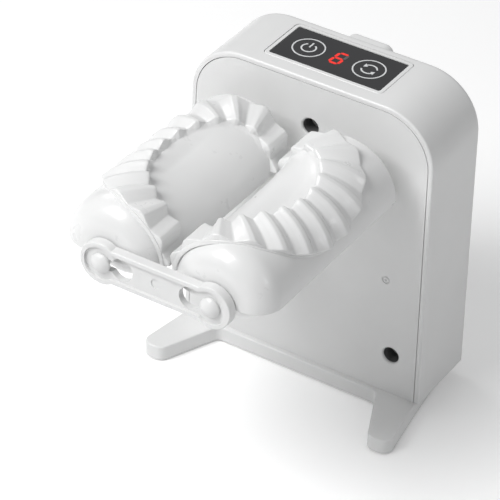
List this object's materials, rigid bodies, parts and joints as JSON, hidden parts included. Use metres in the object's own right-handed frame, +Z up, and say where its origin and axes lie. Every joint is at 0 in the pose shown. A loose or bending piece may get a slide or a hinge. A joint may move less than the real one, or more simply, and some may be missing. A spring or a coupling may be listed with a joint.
{
  "type": "dumpling press",
  "caption": "Electric dumpling press: an upright housing on splayed feet drives two meshing half-moon rollers with pleated rims, joined at the front by a keyhole link bar.",
  "frame": {"origin": "on the table, under the middle of the overall box", "axes": "+Z up, -Y towards the user, the rollers reach along -Y, +X to the user's right when facing the front plate"},
  "size_m": [0.1518, 0.2016, 0.182],
  "materials": {
    "white_gloss": "smooth moulded white plastic",
    "black_window": "polished black window",
    "red_lit": "lit red segments",
    "black_matte": "matt black",
    "board_green": "varnished board",
    "grey_rubber": "soft grey rubber",
    "inner_plastic": "plain moulded plastic",
    "inner_dark": "black moulded plastic",
    "gear_acetal": "natural acetal",
    "steel": "plain steel",
    "cell_wrap": "plastic sleeve",
    "bush_brass": "turned brass"
  },
  "bodies": {
    "housing": {"base_screws": "steel", "base_stand": "white_gloss", "battery_cell": "cell_wrap", "battery_contacts": "steel", "battery_door": "white_gloss", "battery_tray": "inner_plastic", "board_posts": "inner_plastic", "charge_board": "board_green", "charge_rib": "inner_plastic", "charge_socket": "steel", "chassis_screws": "steel", "control_board": "board_green", "display_digit": "red_lit", "display_module": "black_matte", "drive_motor": "steel", "floor_plate": "inner_plastic", "foot_pads": "grey_rubber", "front_plate": "white_gloss", "gear_chassis": "steel", "gearbox_case": "inner_dark", "left_front_bush": "bush_brass", "left_rear_bush": "bush_brass", "link_bar": "white_gloss", "motor_cap": "inner_dark", "panel_bezel": "white_gloss", "panel_lens": "black_window", "plate_screws": "steel", "rear_shell": "white_gloss", "right_front_bush": "bush_brass", "right_rear_bush": "bush_brass", "touch_springs": "steel"},
    "left_roller": {"left_drive_gear": "gear_acetal", "left_drive_shaft": "steel", "left_link_pin": "white_gloss", "left_roller": "white_gloss", "left_roller_hub": "inner_plastic", "left_shaft_clip": "steel"},
    "right_roller": {"right_drive_gear": "gear_acetal", "right_drive_shaft": "steel", "right_link_pin": "white_gloss", "right_roller": "white_gloss", "right_roller_hub": "inner_plastic", "right_shaft_clip": "steel"},
    "pinion": {"motor_pinion": "steel", "pinion_shaft": "steel"}
  },
  "joints": [
    {"name": "left_roller_turn", "type": "hinge", "parent": "housing", "child": "left_roller", "pos_m": [-0.031, 0.0406, 0.14], "axis": [0, 1, 0], "continuous": true},
    {"name": "right_roller_turn", "type": "hinge", "parent": "housing", "child": "right_roller", "pos_m": [0.031, 0.0406, 0.14], "axis": [0, 1, 0], "continuous": true},
    {"name": "pinion_turn", "type": "hinge", "parent": "housing", "child": "pinion", "pos_m": [-0.031, 0.0406, 0.096], "axis": [0, 1, 0], "continuous": true}
  ],
  "couplings": [
    {"joint": "right_roller_turn", "follows": "left_roller_turn", "ratio": -1},
    {"joint": "pinion_turn", "follows": "left_roller_turn", "ratio": -2.3846}
  ]
}
